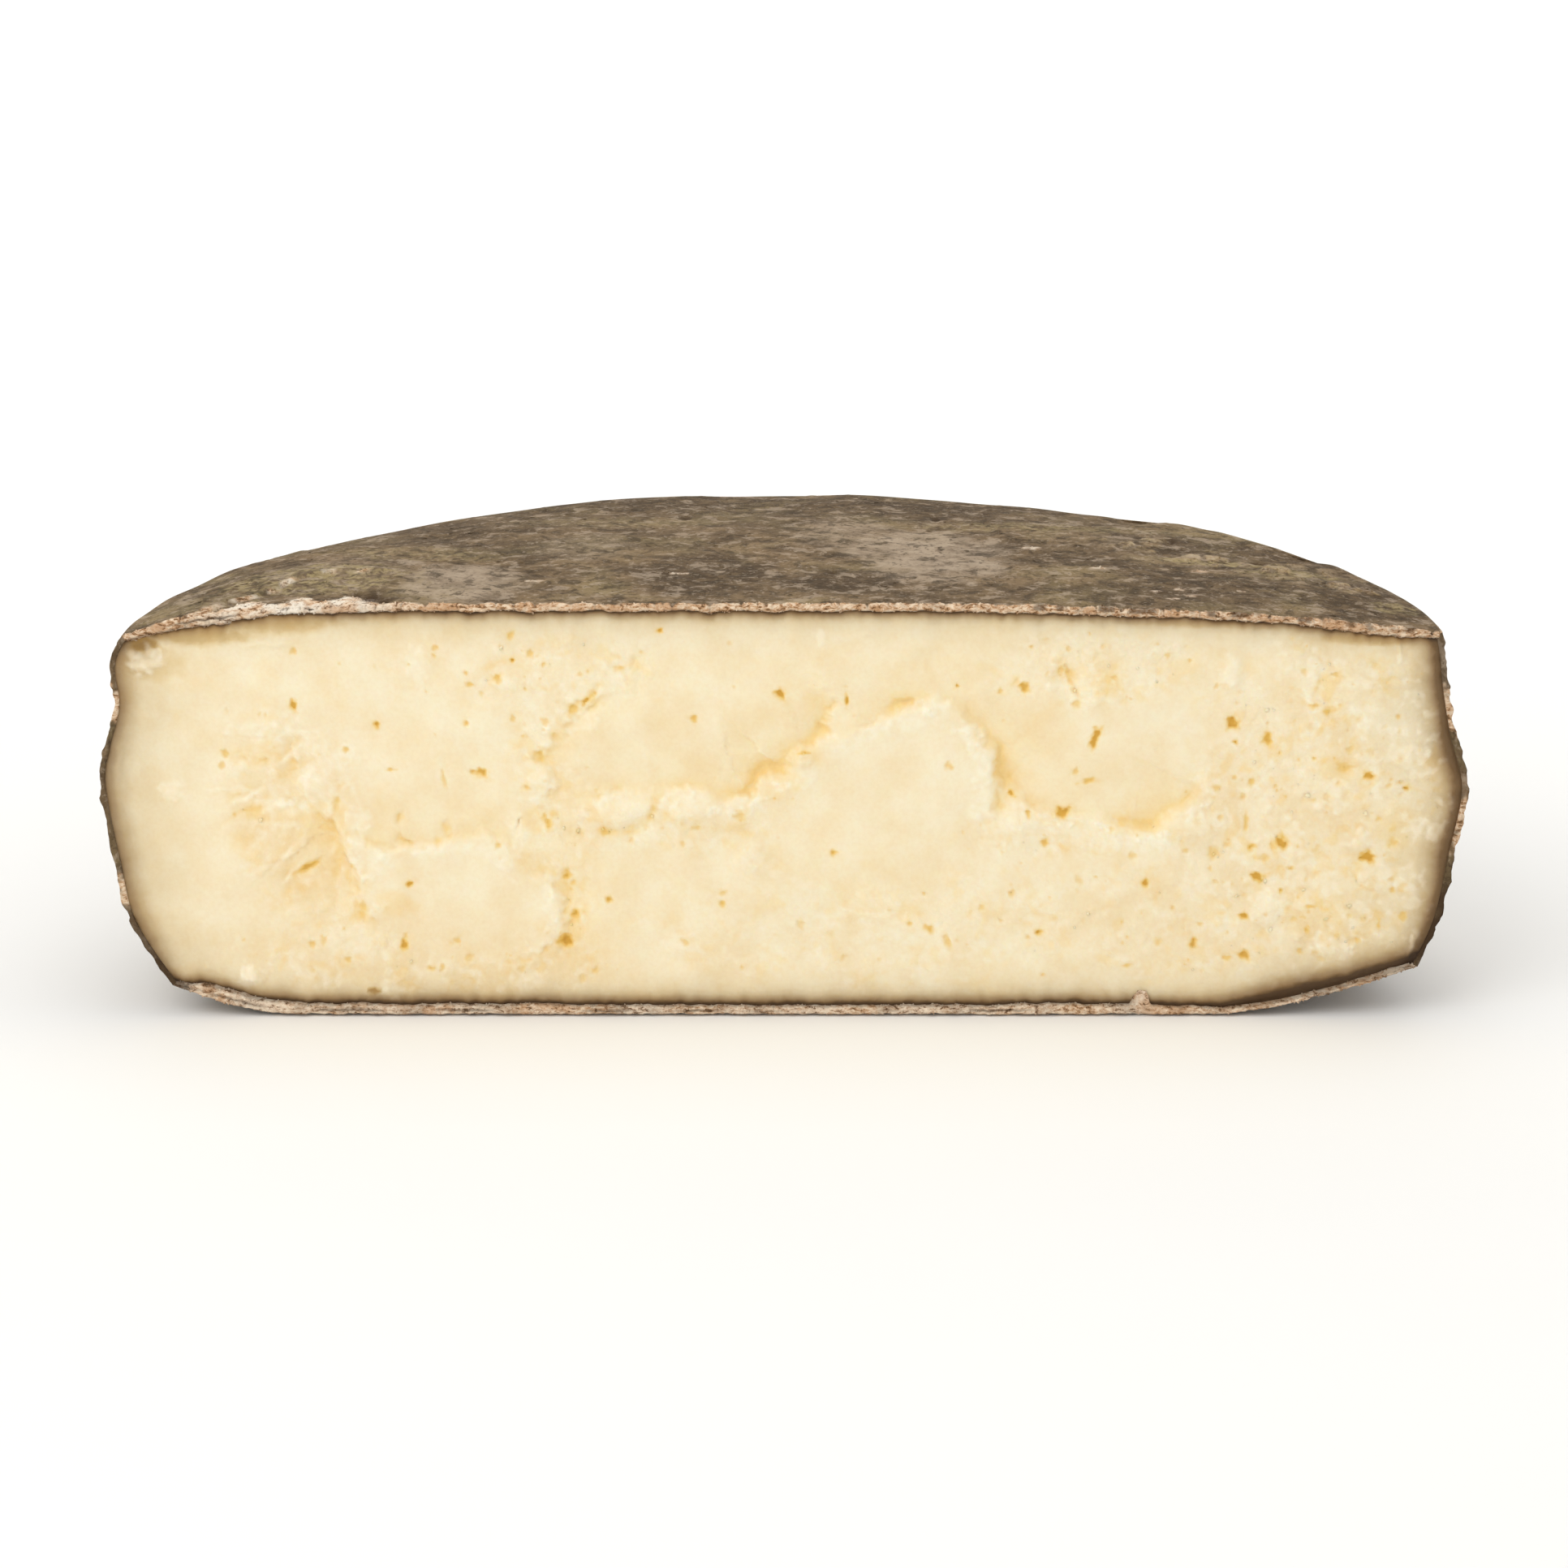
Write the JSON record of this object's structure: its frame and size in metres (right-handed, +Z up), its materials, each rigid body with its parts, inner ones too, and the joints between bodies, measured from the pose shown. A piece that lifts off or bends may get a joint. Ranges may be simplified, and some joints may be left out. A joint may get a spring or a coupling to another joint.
{
  "type": "wine-aged cheese half wheel",
  "caption": "Half wheel of firm wine-aged cheese on its flat base, with a torn, crumbly cut face and a thin mottled rind over a slightly domed top and bulging side.",
  "frame": {"origin": "middle of the bounding box's base, so that the half wheel stands on z = 0", "axes": "+Z up along the wheel's axis, +X along the cut face to its right as it is looked at, +Y away from the cut face towards the rounded rind"},
  "size_m": [0.3014, 0.1524, 0.0947],
  "materials": {
    "paste": "firm pale straw paste, slightly waxy where it was cut and crumbly where it was torn",
    "rind": "dry felt-like grey-brown mould rind with a pale bloom, tan where its crust is broken"
  },
  "bodies": {
    "root": {"cheese": "paste"}
  },
  "joints": []
}
